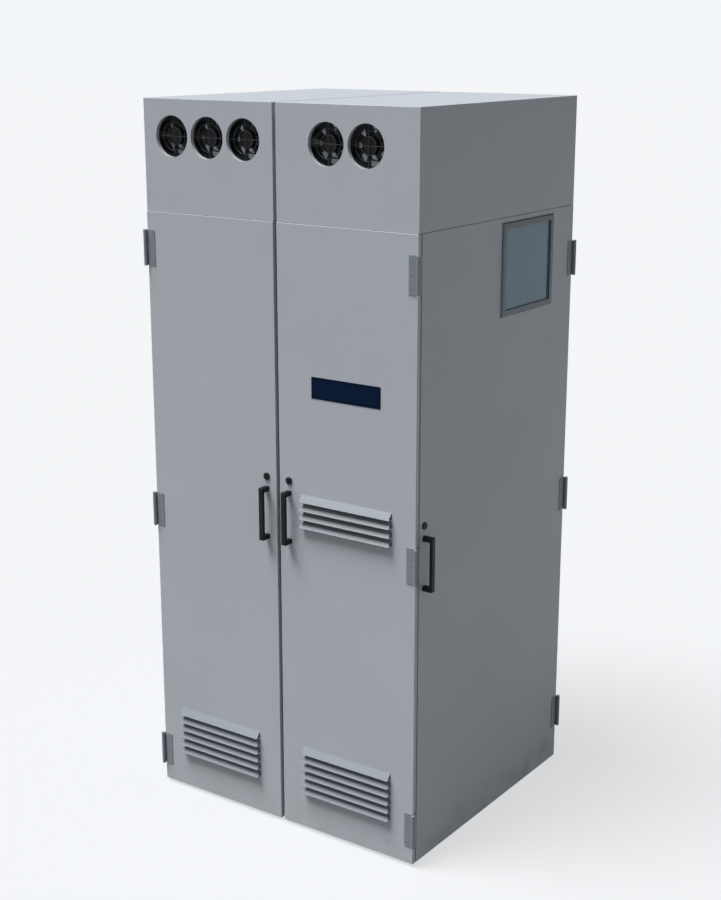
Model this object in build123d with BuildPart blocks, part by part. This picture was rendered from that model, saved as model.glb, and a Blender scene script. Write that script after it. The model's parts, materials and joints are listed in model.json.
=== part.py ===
from build123d import *
from math import cos, hypot, radians, sin
import os

os.makedirs("parts", exist_ok=True)

# Two-bay battery cabinet. X runs along the front, the front faces -Y, and Z is up.
# The origin is the middle of the frame's underside, and the feet reach down from there.
# Lengths are millimetres.

# ---- body ----
bay_width = 436.0
bay_seam = 11.0
cabinet_depth = 800.0
body_height = 2000.0
foot_height = 10.0
plenum_height = 300.0
plenum_gap = 1.0
plenum_foot = 40.0
sheet = 1.5
fold_radius = 1.2

# ---- welded frame ----
frame_wall = 2.0
post_size = 50.0
post_lip = 12.0
bottom_rail_height = 60.0
top_rail_height = 25.0
rail_depth = 40.0
spacer_depth = 30.0
spacer_height = 40.0
spacer_fillet = 5.0
spacer_inset = 10.0
spacer_shares = (0.08, 0.5, 0.92)

# ---- doors and panels ----
door_proud = 2.5
side_proud = 1.0
door_thickness = 12.5
seal_gap = 3.0
corner_gap = 1.5
rear_panel_depth = 12.5
panel_side_gap = 0.5
panel_lip = 20.0
seal_width = 7.0
seal_margin = 0.5
seal_clearance = 0.3
relief_width = 3.0
relief_height = 4.5
relief_inset = 15.0

# ---- louvres and their filters ----
louvre_width = 288.0
louvre_pitch = 24.0
louvre_reach = 15.0
louvre_drop = 18.5
low_louvre_top = 248.5
low_louvre_count = 6
mid_louvre_above_middle = 132.5
mid_louvre_count = 4
filter_margin = 6.0
filter_thickness = 6.0
filter_tray_depth = 8.0
filter_tray_wall = 1.5
filter_tray_lip = 5.0

# ---- hinges ----
hinge_height = 97.0
hinge_axis_out = 3.8
hinge_axis_proud = 5.7
knuckle_radius = 5.0
hinge_pin_radius = 2.5
hinge_pin_fit = 0.06
hinge_pin_head = 1.5
knuckle_gap = 0.4
leaf_thickness = 2.0
door_leaf_width = 26.5
leaf_relief = 4.2
leaf_side_gap = 0.3
frame_leaf_reach = 36.5
front_hinge_inset = 99.5
side_hinge_inset = 149.5

# ---- handles ----
handle_length = 148.0
handle_width = 14.0
handle_bar = 9.0
handle_reach = 30.0
handle_foot = 13.0
handle_round = 3.0
handle_inner_round = 2.0
handle_edge_round = 1.0
front_handle_above_middle = 61.5
hardware_edge_inset = 32.25
side_hardware_inset = 21.5

# ---- quarter-turn locks ----
lock_above_handle = 101.5
lock_head_radius = 10.0
lock_head_proud = 4.0
lock_head_bevel = 0.8
lock_barrel_radius = 8.0
lock_barrel_end_gap = 1.0
lock_hole_gap = 0.2
lock_plug_radius = 6.0
lock_fit = 0.05
lock_plug_proud = 0.3
key_slot_length = 8.0
key_slot_width = 2.2
key_slot_depth = 3.0
cam_thickness = 2.5
cam_reach = 18.0
cam_hub_radius = 7.0
cam_spigot_radius = 4.0
cam_behind_wall = 0.5
cam_slot_half_width = 8.5
cam_slot_half_height = 20.5

# ---- display on the right door ----
display_width = 217.5
display_height = 58.0
display_below_door_top = 421.0
display_proud = 0.8
display_border = 7.0
display_module_depth = 8.0

# ---- window in the side door ----
window_width = 277.5
window_height = 252.0
window_below_door_top = 138.5
window_mid_y = 139.75
window_border = 17.0
window_proud = 5.0
window_bevel = 3.0
window_spigot_wall = 3.0
window_spigot_overlap = 10.0
window_spigot_depth = 6.0
glass_thickness = 4.0
glass_gap = 0.3
window_hole_gap = 0.4

# ---- fans in the plenum ----
fan_pitch = 121.3
fan_below_top = 98.0
fan_size = 120.0
fan_depth = 38.0
fan_corner = 6.0
fan_hole_radius = 55.0
collar_depth = 12.0
collar_wall = 1.5
fan_bore_radius = 53.5
fan_screw_pitch = 105.0
fan_screw_radius = 2.2
motor_radius = 23.0
strut_width = 7.0
strut_depth = 4.0
strut_ring_radius = 38.0
strut_ring_width = 2.5
strut_count = 4
strut_turn = 20.0
strut_root = 2.0
rotor_hub_depth = 22.0
rotor_front_inset = 4.0
rotor_wall = 2.5
rotor_boss_radius = 5.0
rotor_shaft_radius = 2.5
rotor_shaft_fit = 0.05
rotor_back_gap = 1.0
blade_count = 7
blade_tip_radius = 52.0
blade_root_chord = 17.0
blade_tip_chord = 23.0
blade_root_pitch = 32.0
blade_tip_pitch = 18.0
blade_thickness = 2.2
guard_wire = 1.6
guard_rings = (23.0, 38.0, 53.9)
guard_gap = 0.3

# ---- feet, floor anchors and cable entries ----
foot_radius = 20.0
foot_pad_height = 5.0
foot_rim = 1.0
foot_pad_slope = 1.5
foot_collar_radius = 9.0
foot_stud_radius = 5.0
foot_stud_length = 35.0
foot_spread = 600.0
foot_nut_height = 8.0
foot_nut_radius = 9.5
stud_gap = 0.3
anchor_radius = 7.0
anchor_spread = 480.0
gland_plate_length = 260.0
gland_plate_margin = 16.0
gland_plate_mid_y = 60.0
gland_radius = 14.0
gland_wall = 4.0
gland_flange = 5.0
gland_pitch = 150.0
gland_height = 12.0

# ---- shelves, battery modules and control gear ----
first_shelf_level = 110.0
shelf_pitch = 240.0
shelf_flange = 25.0
shelf_vent_length = 120.0
shelf_vent_width = 18.0
shelf_vent_pitch = 40.0
left_module_count = 6
right_module_count = 5
module_width = 300.0
module_depth = 600.0
module_height = 180.0
module_front_gap = 7.0
module_fillet = 4.0
module_grip_width = 90.0
module_grip_height = 28.0
module_grip_depth = 14.0
module_grip_below_terminals = 60.0
module_grip_fillet = 8.0
terminal_offset = 100.0
terminal_level = 150.0
terminal_width = 24.0
terminal_height = 20.0
terminal_proud = 8.0
busbar_width = 18.0
busbar_thickness = 3.0
busbar_fillet = 4.0
control_height = 300.0
control_vent_length = 50.0
control_vent_width = 5.0
control_vent_depth = 3.0
control_vent_pitch = 14.0
control_vent_count = 12
control_vent_below_top = 60.0
isolator_size = 76.0
isolator_depth = 16.0
isolator_fillet = 6.0
isolator_level = 230.0
knob_radius = 24.0
knob_depth = 8.0
knob_grip_width = 11.0
knob_grip_depth = 12.0
knob_shaft_radius = 5.0
knob_fit = 0.06
knob_gap = 0.4

# ---- places worked out from the sizes above ----
half_width = bay_width + bay_seam / 2
bay_mid_x = (bay_width + bay_seam) / 2
front_y = -cabinet_depth / 2
rear_y = cabinet_depth / 2
base_z = 0.0
frame_top_z = base_z + body_height - plenum_height
top_z = base_z + body_height
door_height = body_height - plenum_height - plenum_gap
door_middle = door_height / 2
front_hinge_levels = (front_hinge_inset, door_middle, door_height - front_hinge_inset)
side_hinge_levels = (side_hinge_inset, door_middle, door_height - side_hinge_inset)
front_handle_level = door_middle + front_handle_above_middle
side_handle_level = door_middle
display_level = door_height - display_below_door_top
window_level = door_height - window_below_door_top
door_face_y = front_y - door_proud
frame_front_y = door_face_y + door_thickness + seal_gap
side_face_x = half_width + side_proud
frame_side_x = side_face_x - door_thickness - seal_gap
frame_seam_x = bay_seam / 2
frame_rear_y = rear_y - rear_panel_depth
frame_mid_x = (frame_seam_x + frame_side_x) / 2
frame_mid_y = (frame_front_y + frame_rear_y) / 2
side_door_front_y = frame_front_y + corner_gap
side_door_width = rear_y - side_door_front_y
side_door_mid_y = (rear_y + side_door_front_y) / 2
frame_face_depth = door_thickness + seal_gap
opening_low = bottom_rail_height
opening_high = frame_top_z - base_z - top_rail_height
cam_front_depth = frame_face_depth + frame_wall + cam_behind_wall
shelf_front_y = frame_front_y + post_size
shelf_rear_y = frame_rear_y - post_size
module_front_y = shelf_front_y + module_front_gap

# Each door has its own plane: x to the right as one faces it, y up, z outwards.
# Its origin is the middle of the door's bottom edge, on the outer face.
left_face = Plane(origin=(-bay_mid_x, door_face_y, base_z), x_dir=(1, 0, 0), z_dir=(0, -1, 0))
right_face = Plane(origin=(bay_mid_x, door_face_y, base_z), x_dir=(1, 0, 0), z_dir=(0, -1, 0))
side_face = Plane(origin=(side_face_x, side_door_mid_y, base_z), x_dir=(0, 1, 0), z_dir=(1, 0, 0))


def on(plane, across, up, out=0.0):
    """Location at a point given in a face's own directions."""
    return plane.location * Location((across, up, out))


def save(piece, name):
    """Label one finished sub-part and write it as its own file."""
    piece.part.label = name
    export_step(piece.part, f"parts/{name}.step")


# ======== welded frame ========
def post_outline(x, y, inward_x, inward_y):
    """Corners of the lipped angle of a folded post, outer corner at (x, y)."""
    far = post_size
    lip = post_lip
    wall = frame_wall
    outline = (
        (0, 0), (far, 0), (far, lip), (far - wall, lip), (far - wall, wall),
        (wall, wall), (wall, far - wall), (lip, far - wall), (lip, far), (0, far),
    )
    return [(x + inward_x * a, y + inward_y * b) for a, b in outline]


lock_level = front_handle_level + lock_above_handle
side_lock_level = side_handle_level + lock_above_handle
seam_lock_x = frame_seam_x + hardware_edge_inset
side_lock_y = side_door_front_y + side_hardware_inset

with BuildPart() as frame_posts:
    with BuildSketch(Plane.XY.offset(base_z)):
        for bay in (-1, 1):
            for x, inward_x in ((bay * frame_seam_x, bay), (bay * frame_side_x, -bay)):
                for y, inward_y in ((frame_front_y, 1), (frame_rear_y, -1)):
                    with BuildLine():
                        Polyline(post_outline(x, y, inward_x, inward_y), close=True)
                    make_face()
    extrude(amount=frame_top_z - base_z)
    # slots in the front walls that the lock cams pass
    with BuildSketch(Plane.XZ.offset(-frame_front_y)):
        with Locations((-seam_lock_x, base_z + lock_level), (seam_lock_x, base_z + lock_level)):
            SlotOverall(2 * cam_slot_half_height, 2 * cam_slot_half_width, rotation=90)
    extrude(amount=-frame_wall, mode=Mode.SUBTRACT)
    with BuildSketch(Plane.YZ.offset(frame_side_x)):
        with Locations((side_lock_y, base_z + side_lock_level)):
            SlotOverall(2 * cam_slot_half_height, 2 * cam_slot_half_width, rotation=90)
    extrude(amount=-frame_wall, mode=Mode.SUBTRACT)
save(frame_posts, "frame_posts")


def rail_outlines(outer, inward):
    """Corners of a bottom and a top rail's angle sections, each with its flange inward."""
    wall = frame_wall
    outlines = []
    for level, upward, height in ((base_z, 1, bottom_rail_height), (frame_top_z, -1, top_rail_height)):
        angle = ((0, 0), (rail_depth, 0), (rail_depth, wall), (wall, wall), (wall, height), (0, height))
        outlines.append([(outer + inward * a, level + upward * b) for a, b in angle])
    return outlines


cross_length = frame_side_x - frame_seam_x - 2 * post_size
side_length = frame_rear_y - frame_front_y - 2 * post_size

with BuildPart() as cross_rails:
    for bay in (-1, 1):
        with BuildSketch(Plane.YZ.offset(bay * frame_mid_x - cross_length / 2)):
            for corners in rail_outlines(frame_front_y, 1) + rail_outlines(frame_rear_y, -1):
                with BuildLine():
                    Polyline(corners, close=True)
                make_face()
        extrude(amount=cross_length)
save(cross_rails, "cross_rails")

foot_x = (frame_seam_x + rail_depth / 2 + frame_wall / 2, frame_side_x - rail_depth / 2 - frame_wall / 2)
foot_points = [(bay * x, y) for bay in (-1, 1) for x in foot_x for y in (-foot_spread / 2, foot_spread / 2)]
anchor_points = [(bay * x, y) for bay in (-1, 1) for x in foot_x for y in (-anchor_spread / 2, anchor_spread / 2)]

with BuildPart() as side_rails:
    with BuildSketch(Plane.XZ.offset(-frame_mid_y - side_length / 2)):
        for bay in (-1, 1):
            seam_rails = rail_outlines(bay * frame_seam_x, bay)
            outer_rails = rail_outlines(bay * frame_side_x, -bay)
            for corners in seam_rails + outer_rails:
                with BuildLine():
                    Polyline(corners, close=True)
                make_face()
    extrude(amount=side_length)
    with BuildSketch(Plane.XY.offset(base_z)):
        with Locations(*foot_points):
            Circle(foot_stud_radius + stud_gap)
        with Locations(*anchor_points):
            Circle(anchor_radius)
    extrude(amount=frame_wall, mode=Mode.SUBTRACT)
save(side_rails, "side_rails")

# ======== levelling feet and their nuts ========
with BuildPart() as levelling_foot:
    with BuildSketch(Plane.XZ):
        with BuildLine():
            Polyline(
                (0, 0), (foot_radius - foot_rim, 0), (foot_radius, foot_rim),
                (foot_radius, foot_pad_height - foot_pad_slope),
                (foot_collar_radius, foot_pad_height), (foot_collar_radius, foot_height),
                (foot_stud_radius, foot_height), (foot_stud_radius, foot_stud_length),
                (0, foot_stud_length), close=True,
            )
        make_face()
    revolve(axis=Axis.Z)

with BuildPart() as levelling_feet:
    with Locations(*[(x, y, base_z - foot_height) for x, y in foot_points]):
        add(levelling_foot.part)
save(levelling_feet, "levelling_feet")

with BuildPart() as foot_nuts:
    with BuildSketch(Plane.XY.offset(base_z + frame_wall)):
        with Locations(*foot_points):
            RegularPolygon(radius=foot_nut_radius, side_count=6)
            Circle(foot_stud_radius + stud_gap / 3, mode=Mode.SUBTRACT)
    extrude(amount=foot_nut_height)
save(foot_nuts, "foot_nuts")

# ======== spacers that bolt the two bays together ========
spacer_levels = [base_z + door_height * share for share in spacer_shares]

with BuildPart() as bay_spacers:
    for end_y in (frame_front_y + spacer_inset, frame_rear_y - spacer_inset - spacer_depth):
        with BuildSketch(Plane.YZ.offset(-bay_seam / 2)):
            with Locations(*[(end_y + spacer_depth / 2, level) for level in spacer_levels]):
                RectangleRounded(spacer_depth, spacer_height, spacer_fillet)
            with Locations((end_y + spacer_depth / 2, frame_top_z + plenum_height / 2)):
                RectangleRounded(spacer_depth, spacer_height, spacer_fillet)
        extrude(amount=bay_seam)
save(bay_spacers, "bay_spacers")

# ======== gland plates and cable bushes ========
gland_plate_width = frame_side_x - frame_seam_x - 2 * gland_plate_margin
gland_points = [
    (bay * frame_mid_x + offset, gland_plate_mid_y)
    for bay in (-1, 1) for offset in (-gland_pitch / 2, gland_pitch / 2)
]

with BuildPart() as gland_plates:
    with BuildSketch(Plane.XY.offset(base_z + frame_wall)):
        with Locations((-frame_mid_x, gland_plate_mid_y), (frame_mid_x, gland_plate_mid_y)):
            Rectangle(gland_plate_width, gland_plate_length)
        with Locations(*gland_points):
            Circle(gland_radius + gland_wall, mode=Mode.SUBTRACT)
    extrude(amount=frame_wall)
save(gland_plates, "gland_plates")

with BuildPart() as cable_bush:
    with BuildSketch(Plane.XZ):
        with BuildLine():
            Polyline(
                (gland_radius, 0), (gland_radius + gland_wall - seal_clearance, 0),
                (gland_radius + gland_wall - seal_clearance, frame_wall),
                (gland_radius + gland_wall + gland_flange, frame_wall),
                (gland_radius + gland_wall, gland_height), (gland_radius, gland_height), close=True,
            )
        make_face()
    revolve(axis=Axis.Z)

with BuildPart() as cable_bushes:
    with Locations(*[(x, y, base_z + frame_wall) for x, y in gland_points]):
        add(cable_bush.part)
save(cable_bushes, "cable_bushes")


# ======== fixed panels ========
def folded_panel(plane, left, right, depth, name):
    """Pan with a folded rim, its outer face on the plane, from left to right across it."""
    width = right - left
    mid = (left + right) / 2
    with BuildPart() as panel:
        with BuildSketch(plane.offset(-depth)):
            with Locations((mid, door_height / 2)):
                Rectangle(width, door_height)
        extrude(amount=depth)
        with BuildSketch(plane.offset(-depth + sheet)):
            with Locations((mid, door_height / 2)):
                Rectangle(width - 2 * sheet, door_height - 2 * sheet)
        extrude(amount=depth - 2 * sheet, mode=Mode.SUBTRACT)
        with BuildSketch(plane.offset(-depth)):
            with Locations((mid, door_height / 2)):
                Rectangle(width - 2 * panel_lip, door_height - 2 * panel_lip)
        extrude(amount=sheet, mode=Mode.SUBTRACT)
    save(panel, name)


left_outside = Plane(origin=(-side_face_x, 0, base_z), x_dir=(0, -1, 0), z_dir=(-1, 0, 0))
rear_outside = Plane(origin=(0, rear_y, base_z), x_dir=(-1, 0, 0), z_dir=(0, 1, 0))
folded_panel(left_outside, -rear_y, -side_door_front_y, frame_face_depth, "left_side_panel")
panel_outer = frame_side_x - panel_side_gap
folded_panel(rear_outside, frame_seam_x, panel_outer, rear_panel_depth, "rear_panel_left")
folded_panel(rear_outside, -panel_outer, -frame_seam_x, rear_panel_depth, "rear_panel_right")

# ======== plenum shells with their collared fan holes ========
fan_level = top_z - fan_below_top
left_fans = [-bay_mid_x + step * fan_pitch for step in (-1, 0, 1)]
right_fans = [bay_mid_x + step * fan_pitch for step in (-0.5, 0.5)]


def plenum_shell(mid_x, fans, name):
    """Fan box of one bay, open below, with an inward foot flange and drawn collars."""
    with BuildPart() as shell:
        with BuildSketch(Plane.XY.offset(frame_top_z)):
            with Locations((mid_x, 0)):
                Rectangle(bay_width, cabinet_depth)
        extrude(amount=plenum_height)
        fillet(shell.faces().sort_by(Axis.Z)[-1].edges(), fold_radius)
        with BuildSketch(Plane.XY.offset(frame_top_z + sheet)):
            with Locations((mid_x, 0)):
                Rectangle(bay_width - 2 * sheet, cabinet_depth - 2 * sheet)
        extrude(amount=plenum_height - 2 * sheet, mode=Mode.SUBTRACT)
        with BuildSketch(Plane.XY.offset(frame_top_z)):
            with Locations((mid_x, 0)):
                Rectangle(bay_width - 2 * plenum_foot, cabinet_depth - 2 * plenum_foot)
        extrude(amount=sheet, mode=Mode.SUBTRACT)
        with BuildSketch(Plane.XZ.offset(-front_y - sheet)):
            with Locations(*[(x, fan_level) for x in fans]):
                Circle(fan_hole_radius + collar_wall)
        extrude(amount=-(collar_depth - sheet))
        with BuildSketch(Plane.XZ.offset(-front_y)):
            with Locations(*[(x, fan_level) for x in fans]):
                Circle(fan_hole_radius)
        extrude(amount=-collar_depth, mode=Mode.SUBTRACT)
    save(shell, name)


plenum_shell(-bay_mid_x, left_fans, "plenum_shell_left")
plenum_shell(bay_mid_x, right_fans, "plenum_shell_right")

# ======== fans ========
# Each form below has the fan's axis on Z, its front at z = 0 and the rest behind it.
fan_places = [
    Plane(origin=(x, front_y + collar_depth, fan_level), x_dir=(1, 0, 0), z_dir=(0, -1, 0)).location
    for x in left_fans + right_fans
]
shaft_front = -rotor_front_inset - rotor_wall
hub_back = -rotor_front_inset - rotor_hub_depth
motor_front = hub_back - rotor_back_gap
strut_mid_radius = (motor_radius + fan_bore_radius) / 2

with BuildPart() as fan_housing:
    with BuildSketch(Plane.XY.offset(-fan_depth)):
        RectangleRounded(fan_size, fan_size, fan_corner)
        Circle(fan_bore_radius, mode=Mode.SUBTRACT)
        with GridLocations(fan_screw_pitch, fan_screw_pitch, 2, 2):
            Circle(fan_screw_radius, mode=Mode.SUBTRACT)
    extrude(amount=fan_depth)
    with BuildSketch(Plane.XY.offset(-fan_depth)):
        Circle(strut_ring_radius + strut_ring_width / 2)
        Circle(strut_ring_radius - strut_ring_width / 2, mode=Mode.SUBTRACT)
        with PolarLocations(strut_mid_radius, strut_count, start_angle=strut_turn):
            Rectangle(fan_bore_radius - motor_radius + 2 * strut_root, strut_width)
    extrude(amount=strut_depth)
    with BuildSketch(Plane.XY.offset(-fan_depth)):
        Circle(motor_radius)
    extrude(amount=fan_depth + motor_front)
    with BuildSketch(Plane.XY.offset(motor_front)):
        Circle(rotor_shaft_radius)
    extrude(amount=shaft_front - motor_front)

with BuildPart() as fan_housings:
    with Locations(*fan_places):
        add(fan_housing.part)
save(fan_housings, "fan_housings")

with BuildPart() as fan_guard:
    for ring in guard_rings:
        with BuildSketch(Plane.XY.offset(guard_gap)):
            Circle(ring + guard_wire / 2)
            Circle(ring - guard_wire / 2, mode=Mode.SUBTRACT)
        extrude(amount=guard_wire)
    for turn in (0, 90):
        with BuildSketch(Plane.XY.offset(guard_gap)):
            Rectangle(2 * guard_rings[-1], guard_wire, rotation=turn)
        extrude(amount=guard_wire)

with BuildPart() as fan_guards:
    with Locations(*fan_places):
        add(fan_guard.part)
save(fan_guards, "fan_guards")


def blade_plane(radius, pitch):
    """Plane across one blade at a distance from the fan's axis, leaning by the blade's pitch."""
    lean = radians(pitch)
    middle = -rotor_front_inset - rotor_hub_depth / 2
    return Plane(origin=(radius, 0, middle), x_dir=(0, cos(lean), sin(lean)), z_dir=(1, 0, 0))


with BuildPart() as fan_blade:
    with BuildSketch(blade_plane(motor_radius - rotor_wall / 2, blade_root_pitch)):
        Rectangle(blade_root_chord, blade_thickness)
    with BuildSketch(blade_plane(blade_tip_radius + 2, blade_tip_pitch)):
        Rectangle(blade_tip_chord, blade_thickness)
    loft()
    with Locations((0, 0, -fan_depth / 2)):
        Cylinder(blade_tip_radius, 2 * fan_depth, mode=Mode.INTERSECT)

with BuildPart() as fan_rotor:
    with BuildSketch(Plane.XY.offset(hub_back)):
        Circle(motor_radius)
    extrude(amount=rotor_hub_depth)
    fillet(fan_rotor.faces().sort_by(Axis.Z)[-1].edges(), rotor_wall / 2)
    with PolarLocations(0, blade_count):
        add(fan_blade.part)
    with BuildSketch(Plane.XY.offset(hub_back)):
        Circle(motor_radius - rotor_wall)
        Circle(rotor_boss_radius, mode=Mode.SUBTRACT)
    extrude(amount=rotor_hub_depth - rotor_wall, mode=Mode.SUBTRACT)
    with BuildSketch(Plane.XY.offset(hub_back)):
        Circle(rotor_shaft_radius + rotor_shaft_fit)
    extrude(amount=rotor_hub_depth - rotor_wall, mode=Mode.SUBTRACT)

for number, place in enumerate(fan_places, start=1):
    with BuildPart() as placed_rotor:
        with Locations(place):
            add(fan_rotor.part)
    save(placed_rotor, f"fan_rotor_{number}")

# ======== shelves ========
shelf_width = frame_side_x - frame_seam_x - 2 * frame_wall
shelf_depth = shelf_rear_y - shelf_front_y
shelf_mid_y = (shelf_front_y + shelf_rear_y) / 2
shelf_tops = [base_z + first_shelf_level + index * shelf_pitch for index in range(left_module_count)]

with BuildPart() as shelf:
    with BuildSketch(Plane.XY.offset(-shelf_flange)):
        Rectangle(shelf_width, shelf_depth)
    extrude(amount=shelf_flange)
    with BuildSketch(Plane.XY.offset(-shelf_flange)):
        Rectangle(shelf_width - 2 * frame_wall, shelf_depth - 2 * frame_wall)
    extrude(amount=shelf_flange - frame_wall, mode=Mode.SUBTRACT)
    with BuildSketch(Plane.XY.offset(-frame_wall)):
        with GridLocations(shelf_vent_pitch, 2 * shelf_vent_length, 3, 2):
            Rectangle(shelf_vent_width, shelf_vent_length)
    extrude(amount=frame_wall, mode=Mode.SUBTRACT)

with BuildPart() as shelves:
    with Locations(*[(bay * frame_mid_x, shelf_mid_y, top) for bay in (-1, 1) for top in shelf_tops]):
        add(shelf.part)
save(shelves, "shelves")

# ======== battery modules, control unit and busbars ========
with BuildPart() as battery_module:
    with BuildSketch(Plane.XY):
        with Locations((0, module_depth / 2)):
            RectangleRounded(module_width, module_depth, module_fillet)
    extrude(amount=module_height)
    with BuildSketch(Plane.XZ):
        with Locations((0, terminal_level - module_grip_below_terminals)):
            RectangleRounded(module_grip_width, module_grip_height, module_grip_fillet)
    extrude(amount=-module_grip_depth, mode=Mode.SUBTRACT)
    with BuildSketch(Plane.XZ):
        with Locations((-terminal_offset, terminal_level), (terminal_offset, terminal_level)):
            Rectangle(terminal_width, terminal_height)
    extrude(amount=terminal_proud)

with BuildPart() as battery_modules:
    for bay, count in ((-1, left_module_count), (1, right_module_count)):
        with Locations(*[(bay * frame_mid_x, module_front_y, top) for top in shelf_tops[:count]]):
            add(battery_module.part)
save(battery_modules, "battery_modules")

control_shelf = shelf_tops[right_module_count]
with BuildPart() as control_unit:
    with BuildSketch(Plane.XY.offset(control_shelf)):
        with Locations((frame_mid_x, module_front_y + module_depth / 2)):
            RectangleRounded(module_width, module_depth, module_fillet)
    extrude(amount=control_height)
    with BuildSketch(Plane.XZ.offset(-module_front_y)):
        for side in (-1, 1):
            with Locations((frame_mid_x + side * terminal_offset, control_shelf + terminal_level)):
                Rectangle(terminal_width, terminal_height)
    extrude(amount=terminal_proud)
    # cooling slots in the side that faces the window
    with BuildSketch(Plane.YZ.offset(frame_mid_x + module_width / 2)):
        with Locations((window_mid_y, control_shelf + control_height - control_vent_below_top)):
            with GridLocations(control_vent_pitch, 0, control_vent_count, 1):
                SlotOverall(control_vent_length, control_vent_width, rotation=90)
    extrude(amount=-control_vent_depth, mode=Mode.SUBTRACT)
save(control_unit, "control_unit")

bar_front_y = module_front_y - terminal_proud
with BuildPart() as busbars:
    for bay, links in ((-1, left_module_count - 1), (1, right_module_count)):
        for index in range(links):
            side = 1 if index % 2 else -1
            middle = shelf_tops[index] + terminal_level + shelf_pitch / 2
            with BuildSketch(Plane.XZ.offset(-bar_front_y)):
                with Locations((bay * frame_mid_x + side * terminal_offset, middle)):
                    RectangleRounded(busbar_width, shelf_pitch + busbar_width, busbar_fillet)
            extrude(amount=busbar_thickness)
save(busbars, "busbars")

# ======== main isolator on the control unit ========
isolator_place = Plane(
    origin=(frame_mid_x, module_front_y, control_shelf + isolator_level), x_dir=(1, 0, 0), z_dir=(0, -1, 0)
)
with BuildPart() as isolator_base:
    with BuildSketch(isolator_place):
        RectangleRounded(isolator_size, isolator_size, isolator_fillet)
        Circle(knob_shaft_radius + knob_fit, mode=Mode.SUBTRACT)
    extrude(amount=isolator_depth)
save(isolator_base, "isolator_base")

with BuildPart() as isolator_knob:
    with BuildSketch(isolator_place.offset(knob_gap)):
        Circle(knob_shaft_radius)
    extrude(amount=isolator_depth)
    with BuildSketch(isolator_place.offset(isolator_depth + knob_gap)):
        Circle(knob_radius)
    extrude(amount=knob_depth)
    with BuildSketch(isolator_place.offset(isolator_depth + knob_gap + knob_depth)):
        SlotOverall(2 * knob_radius - 2, knob_grip_width)
    extrude(amount=knob_grip_depth)
save(isolator_knob, "isolator_knob")


# ======== doors ========
def folded_door(width, opening_left, opening_right, lock_place, levels=()):
    """Door pan in its own face directions, open at the back where the frame is open.

    The lock's hole passes both skins, and each level is the upper edge of one louvre's slot.
    """
    with BuildPart() as pan:
        with BuildSketch(Plane.XY.offset(-door_thickness)):
            with Locations((0, door_height / 2)):
                Rectangle(width, door_height)
        extrude(amount=door_thickness)
        fillet(pan.faces().sort_by(Axis.Z)[-1].edges(), fold_radius)
        with BuildSketch(Plane.XY.offset(-door_thickness + sheet)):
            with Locations((0, door_height / 2)):
                Rectangle(width - 2 * sheet, door_height - 2 * sheet)
        extrude(amount=door_thickness - 2 * sheet, mode=Mode.SUBTRACT)
        with BuildSketch(Plane.XY.offset(-door_thickness)):
            with Locations(((opening_left + opening_right) / 2, (opening_low + opening_high) / 2)):
                Rectangle(opening_right - opening_left, opening_high - opening_low)
        extrude(amount=sheet, mode=Mode.SUBTRACT)
        # bend reliefs in the bottom edge
        with BuildSketch(Plane.XY.offset(-door_thickness)):
            for side in (-1, 1):
                with Locations((side * (width / 2 - relief_inset), relief_height / 2)):
                    Rectangle(relief_width, relief_height)
        extrude(amount=door_thickness, mode=Mode.SUBTRACT)
        with BuildSketch(Plane.XY.offset(-door_thickness)):
            with Locations(lock_place):
                Circle(lock_barrel_radius + lock_hole_gap)
        extrude(amount=door_thickness, mode=Mode.SUBTRACT)
        if levels:
            with BuildSketch(Plane.XY.offset(-sheet)):
                with Locations(*[(0, level - louvre_drop / 2) for level in levels]):
                    Rectangle(louvre_width, louvre_drop)
            extrude(amount=sheet, mode=Mode.SUBTRACT)
    return pan.part


def louvre_levels(top, count):
    """Levels of the upper edges of one block of louvres."""
    return [top - index * louvre_pitch for index in range(count)]


low_levels = louvre_levels(low_louvre_top, low_louvre_count)
mid_levels = louvre_levels(door_middle + mid_louvre_above_middle, mid_louvre_count)
door_hinge_side = frame_side_x - post_size - bay_mid_x
door_free_side = bay_mid_x - frame_seam_x - post_size
front_hardware = bay_width / 2 - hardware_edge_inset
side_hardware = side_hardware_inset - side_door_width / 2
side_opening = (frame_front_y + post_size - side_door_mid_y, frame_rear_y - post_size - side_door_mid_y)

left_lock = (front_hardware, lock_level)
right_lock = (-front_hardware, lock_level)
side_lock = (side_hardware, side_lock_level)

with BuildPart() as left_form:
    add(folded_door(bay_width, -door_hinge_side, door_free_side, left_lock, low_levels))

with BuildPart() as left_door_panel:
    with Locations(left_face.location):
        add(left_form.part)
save(left_door_panel, "left_door_panel")

with BuildPart() as right_form:
    add(folded_door(bay_width, -door_free_side, door_hinge_side, right_lock, low_levels + mid_levels))
    # cut-out behind the display
    with BuildSketch(Plane.XY.offset(-sheet)):
        with Locations((0, display_level)):
            Rectangle(display_width - 2 * display_border, display_height - 2 * display_border)
    extrude(amount=sheet, mode=Mode.SUBTRACT)

with BuildPart() as right_door_panel:
    with Locations(right_face.location):
        add(right_form.part)
save(right_door_panel, "right_door_panel")

window_across = window_mid_y - side_door_mid_y
spigot_width = window_width - 2 * window_spigot_overlap
spigot_height = window_height - 2 * window_spigot_overlap

with BuildPart() as side_form:
    add(folded_door(side_door_width, *side_opening, side_lock))
    # cut-out that the window frame's spigot passes
    with BuildSketch(Plane.XY.offset(-sheet)):
        with Locations((window_across, window_level)):
            Rectangle(spigot_width + 2 * window_hole_gap, spigot_height + 2 * window_hole_gap)
    extrude(amount=sheet, mode=Mode.SUBTRACT)

with BuildPart() as side_door_panel:
    with Locations(side_face.location):
        add(side_form.part)
save(side_door_panel, "side_door_panel")

# ======== louvre blades, welded under the upper edges of their slots ========
slant = hypot(louvre_reach, louvre_drop)
blade_root = sheet * (louvre_drop / louvre_reach * (1 - louvre_drop / slant) - louvre_reach / slant)

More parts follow.
